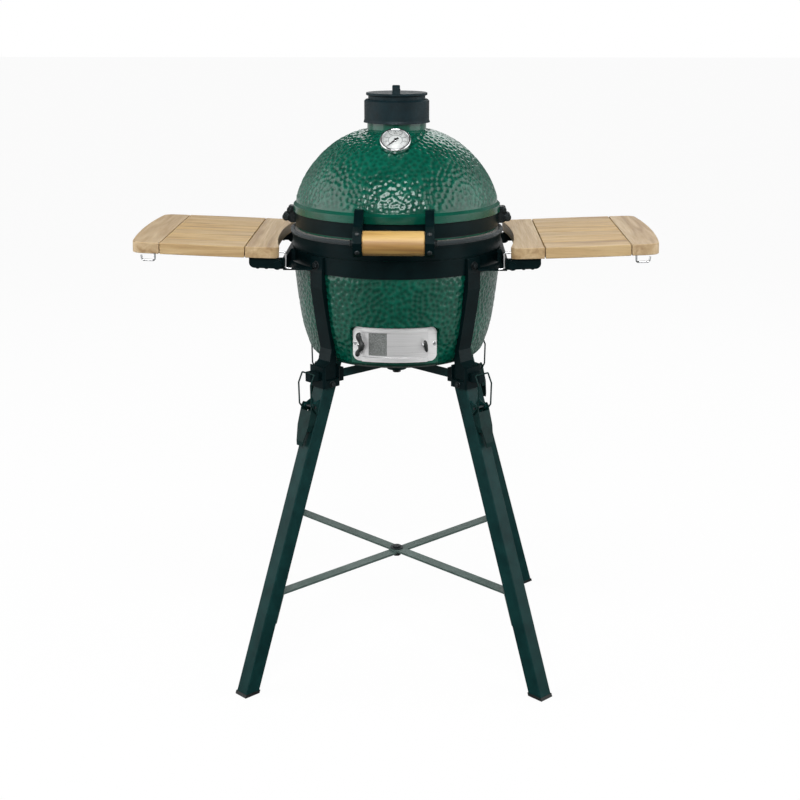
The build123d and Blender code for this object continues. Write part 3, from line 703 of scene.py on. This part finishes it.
def shelf_outline():
    """Plan of the right-hand shelf with its bowed edges and round corners."""
    front = -SHELF_HALF_WIDTH
    back = SHELF_HALF_WIDTH
    middle = (SHELF_INNER + SHELF_OUTER) / 2
    corners = [
        Vector((SHELF_INNER, front)), Vector((SHELF_OUTER, front)),
        Vector((SHELF_OUTER, back)), Vector((SHELF_INNER, back)),
    ]
    bows = [
        Vector((middle, front - SHELF_SIDE_BOW)), Vector((SHELF_OUTER + SHELF_OUTER_BOW, 0)),
        Vector((middle, back + SHELF_SIDE_BOW)), Vector((SHELF_INNER + SHELF_INNER_BOW, 0)),
    ]
    outline = []
    for number, corner in enumerate(corners):
        turn = corners[(number + 1) % 4]
        edge = arc_through(corner, bows[number], turn)
        outline.extend(point for point in edge[1:] if all((point - c).length > SHELF_CORNER for c in corners))
        following = arc_through(turn, bows[(number + 1) % 4], corners[(number + 2) % 4])
        enter = next(p for p in reversed(edge) if (p - turn).length > SHELF_CORNER)
        leave = next(p for p in following if (p - turn).length > SHELF_CORNER)
        for part in range(1, SHELF_CORNER_STEPS):
            share = part / SHELF_CORNER_STEPS
            outline.append(enter * (1 - share) ** 2 + turn * 2 * share * (1 - share) + leave * share ** 2)
    return outline


def clipped(outline, axis, limit, keep_above):
    """Part of an outline on one side of a straight cut."""
    kept = []
    for first, second in zip(outline, outline[1:] + outline[:1]):
        first_in = (first[axis] >= limit) == keep_above
        second_in = (second[axis] >= limit) == keep_above
        if first_in:
            kept.append(first)
        if first_in != second_in:
            kept.append(first.lerp(second, (limit - first[axis]) / (second[axis] - first[axis])))
    return kept


def tipped(x, y, z, side):
    """A level point of the right-hand shelf, tipped about its hinge and put on one side."""
    reach = x - SHELF_HINGE[0]
    rise = z - SHELF_HINGE[1]
    tilted_x = SHELF_HINGE[0] + reach * math.cos(SHELF_TILT) - rise * math.sin(SHELF_TILT)
    tilted_z = SHELF_HINGE[1] + reach * math.sin(SHELF_TILT) + rise * math.cos(SHELF_TILT)
    return Vector((side * tilted_x, y, tilted_z))


def shelf_board(name, outline, body, side, along, seed, warmth):
    """One board of a shelf, with eased edges and its own figure in the wood."""
    count = len(outline)
    points = [tipped(p.x, p.y, BOARD_BOTTOM, side) for p in outline]
    points += [tipped(p.x, p.y, BOARD_TOP, side) for p in outline]
    faces = [tuple(range(count))[::-1], tuple(range(count, 2 * count))]
    for number in range(count):
        after = (number + 1) % count
        faces.append((number, after, count + after, count + number))
    if side < 0:
        faces = [face[::-1] for face in faces]
    board = add_piece(name, points, faces, wood(name + "_wood", along, seed, warmth), body, smooth=False)
    return soften(board, BOARD_EASE, 3, 40)


def make_shelf(word, side):
    """End boards across, slats between them, in place of the plain CAD shelf."""
    body = "shelf_" + word
    outline = shelf_outline()
    half_gap = BOARD_GAP / 2
    seed = 2 if side > 0 else 15
    outer = clipped(outline, 0, SLAT_ENDS[1] + half_gap, True)
    inner = clipped(outline, 0, SLAT_ENDS[0] - half_gap, False)
    boards = [
        shelf_board(body + "_outer_board", outer, body, side, 1, seed, 0.15),
        shelf_board(body + "_inner_board", inner, body, side, 1, seed + 1, 0.3),
    ]
    field = clipped(clipped(outline, 0, SLAT_ENDS[0] + half_gap, True), 0, SLAT_ENDS[1] - half_gap, False)
    width = 2 * SHELF_HALF_WIDTH / SLAT_COUNT
    for number in range(SLAT_COUNT):
        slat = field
        low = -SHELF_HALF_WIDTH + number * width
        if number > 0:
            slat = clipped(slat, 1, low + half_gap, True)
        if number < SLAT_COUNT - 1:
            slat = clipped(slat, 1, low + width - half_gap, False)
        name = f"{body}_slat_{number + 1}"
        warmth = 0.55 + 0.7 * (number * GOLDEN % 1.0)
        boards.append(shelf_board(name, slat, body, side, 0, seed + 2 + number, warmth))
    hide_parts("shelf_" + word)


make_shelf("right", 1)
make_shelf("left", -1)


def frame_on(place, direction):
    """Matrix that puts local +Z along a direction at a place."""
    outward = Vector(direction).normalized()
    side = Vector((0, 0, 1)).cross(outward)
    if side.length < 1e-6:
        side = Vector((1, 0, 0))
    side.normalize()
    turn = Matrix((side, outward.cross(side), outward)).transposed()
    return Matrix.Translation(place) @ turn.to_4x4()


def turned_points(outline, place, direction, count, offset=0.0):
    """Points of an outline turned about a direction, the first of each ring offset by a share of a step."""
    matrix = frame_on(place, direction)
    points = []
    for radius, height in outline:
        for number in range(count):
            angle = 2 * math.pi * (number + offset) / count
            points.append(matrix @ Vector((radius * math.cos(angle), radius * math.sin(angle), height)))
    return points


def turned_piece(name, outline, place, direction, material, body, sides, smooth=True):
    """Closed piece of revolution about a direction. The outline is (radius, height) pairs, bottom first."""
    points = turned_points(outline, place, direction, sides, 0.5)
    rows = len(outline) - 1
    faces = strip_faces(rows, sides)
    faces.append(tuple(range(sides))[::-1])
    faces.append(tuple(range(rows * sides, (rows + 1) * sides)))
    return add_piece(name, points, faces, material, body, smooth)


def turned_strip(name, outline, place, direction, material, body, sides):
    """Open strip of revolution, such as a bezel or a bead."""
    points = turned_points(outline, place, direction, sides)
    return add_piece(name, points, strip_faces(len(outline) - 1, sides), material, body)


def hex_bolt(name, place, direction, across, body):
    """Hexagonal head with a chamfer, on a washer."""
    radius = across / 2
    black = SLOT_MATERIALS["zinc_bolts"]
    washer = [(radius * 1.3, 0), (radius * 1.3, radius * 0.22), (radius * 1.22, radius * 0.28)]
    head = [(radius, radius * 0.28), (radius, radius * 0.85), (radius * 0.86, radius * 1.0)]
    for part, outline, sides, smooth in (("washer", washer, 32, True), ("head", head, 6, False)):
        piece = turned_piece(f"{name}_{part}", outline, place, direction, black, body, sides, smooth)
        soften(piece, radius * 0.06)


def pan_screw(name, place, direction, radius, body, slot, flatness=1.0):
    """Domed screw head with a flat black cross where its recess is, painted shade for the hole. A small
    flatness makes a sunk head.
    """
    tall = radius * flatness
    dome = [
        (radius, 0), (radius, tall * 0.25), (radius * 0.86, tall * 0.5),
        (radius * 0.5, tall * 0.66), (radius * 0.1, tall * 0.7),
    ]
    piece = turned_piece(name, dome, place, direction, SLOT_MATERIALS[slot], body, 28)
    matrix = frame_on(place, direction)
    long_side = radius * 0.55
    short_side = radius * 0.12
    top = tall * 0.72
    points = []
    faces = []
    for first, second in ((long_side, short_side), (short_side, long_side)):
        start = len(points)
        corners = ((-first, -second), (first, -second), (first, second), (-first, second))
        points += [matrix @ Vector((x, y, top)) for x, y in corners]
        faces.append((start, start + 1, start + 2, start + 3))
    # The flat black cross is painted shade where the recess would be.
    recess = add_piece(name + "_recess_shade", points, faces, SLOT_MATERIALS["black_plastic"], body, smooth=False)


def radial(angle_from_front, radius, z):
    """Place and outward direction at an angle from the front, positive to the right."""
    angle = math.radians(angle_from_front)
    outward = Vector((math.sin(angle), -math.cos(angle), 0))
    return outward * radius + Vector((0, 0, z)), outward


def make_fasteners():
    """Bolts and screws that are too small for CAD nodes of their own."""
    for word, side in (("left", -1), ("right", 1)):
        for end, angle in (("front", 45), ("back", 135)):
            place, outward = radial(side * angle, CARRIER_BOLT_RADIUS, CARRIER_BOLT_HEIGHT)
            hex_bolt(f"carrier_{end}_bolt_{word}", place, outward, 12 * MM, "carrier")
        for end, facing in (("front", -1), ("back", 1)):
            for row, (x, z, across) in enumerate(BAND_BOLTS):
                place = Vector((side * x * MM, facing * BAND_BOLT_REACH, z * MM))
                hex_bolt(f"band_bolt_{word}_{end}_{row + 1}", place, (0, facing, 0), across * MM, "lid")
        for row, (y, z, slope) in enumerate(HANDLE_SCREWS):
            place = Vector((side * HANDLE_SCREW_SIDE, y * MM, z * MM))
            pan_screw(f"handle_screw_{word}_{row + 1}", place, (0, -1, slope), 4.2 * MM, "lid", "zinc_bolts")
        x, y, z = HANDLE_BOLT
        hex_bolt(f"handle_bolt_{word}", Vector((side * x, y, z)), (side, 0, 0), 12 * MM, "lid")
        body = "shelf_" + word
        for end, y in SHELF_SCREW_ROWS:
            for number, x in enumerate(SHELF_SCREW_REACH):
                name = f"shelf_screw_{word}_{end}_{number + 1}"
                place = tipped(x, y, SHELF_SCREW_HEIGHT, side)
                pan_screw(name, place, (0, 0, -1), 3.4 * MM, body, "zinc_bolts")
    for word, side in (("left", -1), ("right", 1)):
        place, outward = radial(side * DRAFT_SCREW_ANGLE, DRAFT_SCREW_RADIUS, DRAFT_MIDDLE)
        pan_screw("draft_screw_" + word, place, outward, 3.8 * MM, "carrier", "chrome_wire", SUNK_HEAD)
    for number, name in enumerate(("back_right", "back_left", "front_left", "front_right")):
        angle = math.radians(45 + 90 * number)
        outward = Vector((math.cos(angle), math.sin(angle), 0))
        along = Vector((-outward.y, outward.x, 0))
        middle = outward * SOCKET_BOLT_RADIUS + Vector((0, 0, SOCKET_BOLT_HEIGHT))
        body = "frame_a" if name in ("front_left", "back_right") else "frame_b"
        for word, side in (("near", -1), ("far", 1)):
            place = middle + along * side * SOCKET_BOLT_SIDE
            hex_bolt(f"socket_bolt_{name}_{word}", place, along * side, 10 * MM, body)


def curve_mesh(curve):
    """Points and faces of a curve or text."""
    holder = bpy.data.objects.new("holder", curve)
    bpy.context.scene.collection.objects.link(holder)
    bpy.context.view_layer.update()
    mesh = bpy.data.meshes.new_from_object(holder.evaluated_get(bpy.context.evaluated_depsgraph_get()))
    bpy.data.objects.remove(holder)
    points = [vertex.co.copy() for vertex in mesh.vertices]
    faces = [tuple(polygon.vertices) for polygon in mesh.polygons]
    return points, faces


def round_bar(name, places, radii, material, body):
    """Round bar along a smooth curve, with its own radius at each point."""
    curve = bpy.data.curves.new(name + "_line", "CURVE")
    curve.dimensions = "3D"
    curve.bevel_depth = 1.0
    curve.bevel_resolution = 4
    curve.use_fill_caps = True
    spline = curve.splines.new("NURBS")
    spline.points.add(len(places) - 1)
    for point, place, radius in zip(spline.points, places, radii):
        point.co = (*place, 1.0)
        point.radius = radius
    spline.order_u = 3
    spline.use_endpoint_u = True
    spline.resolution_u = 6
    points, faces = curve_mesh(curve)
    return add_piece(name, points, faces, material, body)


def on_wall(angle_from_front, radius, z):
    """Point on an upright round wall, by its angle from the front in degrees."""
    return radial(angle_from_front, radius, z)[0]


def door_lever(name, angle, outline, body, node):
    """Cast lever on a short post, in place of the plain CAD knob."""
    black = SLOT_MATERIALS["black_plastic"]
    places = [on_wall(angle + turn, LEVER_RADIUS, z * MM) for turn, z, radius in outline]
    radii = [radius * MM for turn, z, radius in outline]
    lever = round_bar(name, places, radii, black, body)
    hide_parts(node)
    place, outward = radial(angle, LEVER_POST_FOOT, DRAFT_MIDDLE)
    outline = [(4.2 * MM, 0), (4.2 * MM, 2 * MM), (3.0 * MM, 3 * MM), (3.0 * MM, 9 * MM)]
    post = turned_piece(name + "_post", outline, place, outward, SLOT_MATERIALS["chrome_wire"], body, 28)


def screen_sheet(name, start, end, material):
    """Thin sheet on the front of the draft screen between two angles."""
    points = []
    for column in range(MESH_COLUMNS + 1):
        angle = start + (end - start) * column / MESH_COLUMNS
        points += [on_wall(angle, MESH_RADIUS, MESH_BOTTOM), on_wall(angle, MESH_RADIUS, MESH_TOP)]
    faces = [(2 * n, 2 * n + 2, 2 * n + 3, 2 * n + 1) for n in range(MESH_COLUMNS)]
    add_piece(name, points, faces, material, "draft_screen")


def make_draft_details():
    """Levers, fine mesh, and thin bright bars that paint highlights on the rail edges of the draft door."""
    door_lever("draft_screen_lever", SCREEN_LEVER_ANGLE, SCREEN_LEVER, "draft_screen", "draft_screen_handle")
    door_lever("draft_door_lever", DOOR_LEVER_ANGLE, DOOR_LEVER, "draft_door", "draft_door_knob")
    screen_sheet("draft_mesh", MESH_START, MESH_END, wire_mesh())
    screen_sheet("draft_mesh_edge", MESH_EDGE_START, MESH_START, SLOT_MATERIALS["stainless"])
    bright = SLOT_MATERIALS["chrome_wire"]
    # Thin chrome bars along the edges of the rails are painted highlights.
    for row, z in enumerate(RAIL_HIGHLIGHT_HEIGHTS):
        arc = []
        for step in range(RAIL_HIGHLIGHT_STEPS + 1):
            angle = -RAIL_HIGHLIGHT_ANGLE + 2 * RAIL_HIGHLIGHT_ANGLE * step / RAIL_HIGHLIGHT_STEPS
            arc.append(on_wall(angle, RAIL_HIGHLIGHT_RADIUS, z))
        radii = [RAIL_HIGHLIGHT_THICKNESS] * len(arc)
        round_bar(f"draft_rail_lip_{row + 1}", arc, radii, bright, "carrier")


def make_band_bead():
    """Grey bead on the top edge of the base band."""
    outline = []
    for step in range(BEAD_STEPS + 1):
        angle = 2 * math.pi * step / BEAD_STEPS
        outline.append((BEAD_RING + BEAD_RADIUS * math.cos(angle), BEAD_RADIUS * math.sin(angle)))
    fibre = felt("bead_grey", srgb(18, 27, 30), srgb(44, 55, 58))
    place = Vector((0, 0, BEAD_HEIGHT))
    bead = turned_strip("base_band_bead", outline, place, (0, 0, 1), fibre, "carrier", 160)


def dial_place(x, y, height):
    """Point on the dial: x to the right, y up the dial, height above the front of its case."""
    turn = Matrix.Rotation(DIAL_TILT, 4, "X")
    return DIAL_FACE + turn @ Vector((x, y, height))


def dial_mark(name, angle, inner, outer, width, material):
    """Flat tick on the dial, by its clock angle from the top."""
    outward = Vector((math.sin(angle), math.cos(angle)))
    across = Vector((outward.y, -outward.x)) * width / 2
    near = outward * inner
    far = outward * outer
    corners = [near - across, near + across, far + across, far - across]
    points = [dial_place(corner.x, corner.y, DIAL_MARK_HEIGHT) for corner in corners]
    add_piece(name, points, [(3, 2, 1, 0)], material, "lid", smooth=False)


def dial_number(text, angle, radius, height, material):
    """Plain number on the dial."""
    curve = bpy.data.curves.new("dial_number_" + text, "FONT")
    curve.body = text
    curve.size = height
    curve.align_x = "CENTER"
    curve.align_y = "CENTER"
    flat, faces = curve_mesh(curve)
    centre = Vector((math.sin(angle), math.cos(angle))) * radius
    points = [dial_place(point.x + centre.x, point.y + centre.y, DIAL_NUMBER_HEIGHT) for point in flat]
    add_piece("dial_number_" + text, points, faces, material, "lid", smooth=False)


def make_dial():
    """White dial with a scale, plain numbers, a hub and a bezel."""
    up = dial_place(0, 0, 1) - dial_place(0, 0, 0)
    white = painted("dial_white", srgb(222, 225, 224), 0.4)
    ink = painted("dial_ink", srgb(40, 44, 46), 0.5)
    accent = painted("dial_scale", srgb(120, 128, 128), 0.5)
    bright = SLOT_MATERIALS["chrome_wire"]
    face = [(DIAL_RADIUS, 0), (DIAL_RADIUS, 0.1 * MM)]
    turned_piece("dial_face", face, dial_place(0, 0, DIAL_FACE_HEIGHT), up, white, "lid", 64)
    for number in range(DIAL_STEPS + 1):
        angle = DIAL_START + DIAL_SWEEP * number / DIAL_STEPS
        inner, width = SHORT_TICK if number % DIAL_STEPS_PER_NUMBER else LONG_TICK
        dial_mark(f"dial_tick_{number}", angle, inner, TICK_OUTER, width, ink)
        if number < DIAL_STEPS:
            between = angle + DIAL_SWEEP / DIAL_STEPS / 2
            dial_mark(f"dial_arc_{number}", between, 12.0 * MM, 12.9 * MM, 1.6 * MM, accent)
    numbers = DIAL_STEPS // DIAL_STEPS_PER_NUMBER
    for number in range(1, numbers):
        angle = DIAL_START + DIAL_SWEEP * number / numbers
        dial_number(str(number * DIAL_NUMBER_STEP), angle, 16.4 * MM, 4.4 * MM, ink)
    hub = [(3.2 * MM, 0), (3.2 * MM, 0.6 * MM), (2.4 * MM, 0.95 * MM)]
    hub_piece = turned_piece("dial_hub", hub, dial_place(0, 0, DIAL_HUB_HEIGHT), up, bright, "lid", 28)
    rim = [(radius * MM, height * MM) for radius, height in DIAL_RIM]
    turned_strip("dial_bezel", rim, dial_place(0, 0, 0), up, bright, "lid", 72)


make_fasteners()
make_draft_details()
make_band_bead()
make_dial()


def soft_light(name, place, width, height, power, mirrored=True, lighting=True):
    """Large rectangular lamp facing the object. It shows in glossy surfaces, lights matt ones, or both."""
    lamp = bpy.data.lights.new(name, "AREA")
    lamp.shape = "RECTANGLE"
    lamp.size = width
    lamp.size_y = height
    lamp.energy = power
    holder = bpy.data.objects.new(name, lamp)
    holder.location = place
    holder.rotation_euler = (Vector(LIGHTS_AIM) - Vector(place)).to_track_quat("-Z", "Y").to_euler()
    holder.visible_glossy = mirrored
    holder.visible_diffuse = lighting
    bpy.context.scene.collection.objects.link(holder)


def calculated(tree, operation, *values):
    """Output of a maths node. Each value may be an output or a number."""
    node = tree.nodes.new("ShaderNodeMath")
    node.operation = operation
    for socket, value in zip(node.inputs, values):
        if isinstance(value, bpy.types.NodeSocket):
            tree.links.new(value, socket)
        else:
            socket.default_value = value
    return node.outputs[0]


def eased(tree, value, limits, low, high):
    """Smooth change from low to high while a value goes from one limit to the other."""
    node = tree.nodes.new("ShaderNodeMapRange")
    node.interpolation_type = "SMOOTHSTEP"
    for socket, number in zip(("From Min", "From Max", "To Min", "To Max"), (*limits, low, high)):
        node.inputs[socket].default_value = number
    tree.links.new(value, node.inputs["Value"])
    return node.outputs["Result"]


def aside_and_up(tree, place):
    """Distance to either side and height of a position or direction."""
    split = tree.nodes.new("ShaderNodeSeparateXYZ")
    tree.links.new(place, split.inputs[0])
    return calculated(tree, "ABSOLUTE", split.outputs["X"]), split.outputs["Z"]


def make_floor():
    """Wide pale floor that looks near white to the camera and still takes the shadow."""
    mesh = bpy.data.meshes.new("floor")
    corners = [(x * FLOOR_HALF, y * FLOOR_HALF, 0) for x, y in ((-1, -1), (1, -1), (1, 1), (-1, 1))]
    mesh.from_pydata(corners, [], [(0, 1, 2, 3)])
    material = bpy.data.materials.new("studio_floor")
    material.use_nodes = True
    tree = material.node_tree
    shader = tree.nodes["Principled BSDF"]
    shader.inputs["Roughness"].default_value = 0.9
    shader.inputs["Specular IOR Level"].default_value = 0.0
    path = tree.nodes.new("ShaderNodeLightPath").outputs
    pale = eased(tree, path["Is Camera Ray"], (0, 1), FLOOR_BOUNCE, FLOOR_PALE)
    tree.links.new(pale, shader.inputs["Base Color"])
    sideways = aside_and_up(tree, tree.nodes.new("ShaderNodeNewGeometry").outputs["Position"])[0]
    aside = eased(tree, sideways, FLOOR_ASIDE_FROM, FLOOR_AHEAD, FLOOR_ASIDE)
    mirrored = calculated(tree, "MULTIPLY", path["Is Glossy Ray"], aside)
    share = calculated(tree, "MULTIPLY_ADD", path["Is Camera Ray"], FLOOR_SEEN, mirrored)
    glow = tree.nodes.new("ShaderNodeEmission")
    glow.inputs["Strength"].default_value = 1.0
    blend = tree.nodes.new("ShaderNodeMixShader")
    for socket, output in zip(blend.inputs, (share, shader.outputs[0], glow.outputs[0])):
        tree.links.new(output, socket)
    tree.links.new(blend.outputs[0], tree.nodes["Material Output"].inputs["Surface"])
    mesh.materials.append(material)
    floor = bpy.data.objects.new("floor", mesh)
    bpy.context.scene.collection.objects.link(floor)


def make_world():
    """White to the eye; to the object, two pale side walls with a darker room before and above it."""
    world = bpy.data.worlds.new("studio")
    bpy.context.scene.world = world
    world.use_nodes = True
    tree = world.node_tree
    background = tree.nodes["Background"]
    background.inputs["Color"].default_value = (1, 1, 1, 1)
    path = tree.nodes.new("ShaderNodeLightPath").outputs
    sideways, upward = aside_and_up(tree, tree.nodes.new("ShaderNodeTexCoord").outputs["Generated"])
    walls = eased(tree, sideways, ROOM_WALL_FROM, ROOM_DARK, ROOM_WALL)
    ceiling = eased(tree, upward, ROOM_CEILING_FROM, 1.0, ROOM_CEILING)
    shaded = calculated(tree, "MULTIPLY", walls, ceiling)
    strength = calculated(tree, "MAXIMUM", path["Is Camera Ray"], shaded)
    tree.links.new(strength, background.inputs["Strength"])


def make_camera():
    """Camera at the photograph's viewpoint."""
    camera = bpy.data.cameras.new("photo_camera")
    camera.lens = CAMERA_LENS
    camera.sensor_width = CAMERA_SENSOR
    camera.shift_x = CAMERA_SHIFT
    camera.clip_end = 200.0
    holder = bpy.data.objects.new("photo_camera", camera)
    level = math.cos(CAMERA_PITCH)
    look = Vector((-math.sin(CAMERA_YAW) * level, math.cos(CAMERA_YAW) * level, -math.sin(CAMERA_PITCH)))
    holder.location = CAMERA_PLACE
    holder.rotation_euler = look.to_track_quat("-Z", "Y").to_euler()
    bpy.context.scene.collection.objects.link(holder)
    bpy.context.scene.camera = holder


make_floor()
make_world()
soft_light("left_wall", (-3.1, -0.7, 1.8), width=3.4, height=3.0, power=70)
soft_light("right_wall", (3.1, -0.6, 1.8), width=3.4, height=3.0, power=63)
soft_light("front_panel", (-0.1, -3.4, 2.7), width=1.9, height=1.15, power=74, mirrored=False)
soft_light("front_glint", (-0.1, -3.4, 2.8), width=2.2, height=1.6, power=150, lighting=False)
soft_light("top_panel", (0.1, -1.25, 3.1), width=0.9, height=0.6, power=18, mirrored=False)
soft_light("back_panel", (0.3, 2.8, 2.6), width=2.4, height=1.6, power=30)
make_camera()
bpy.context.scene.view_settings.view_transform = "Standard"
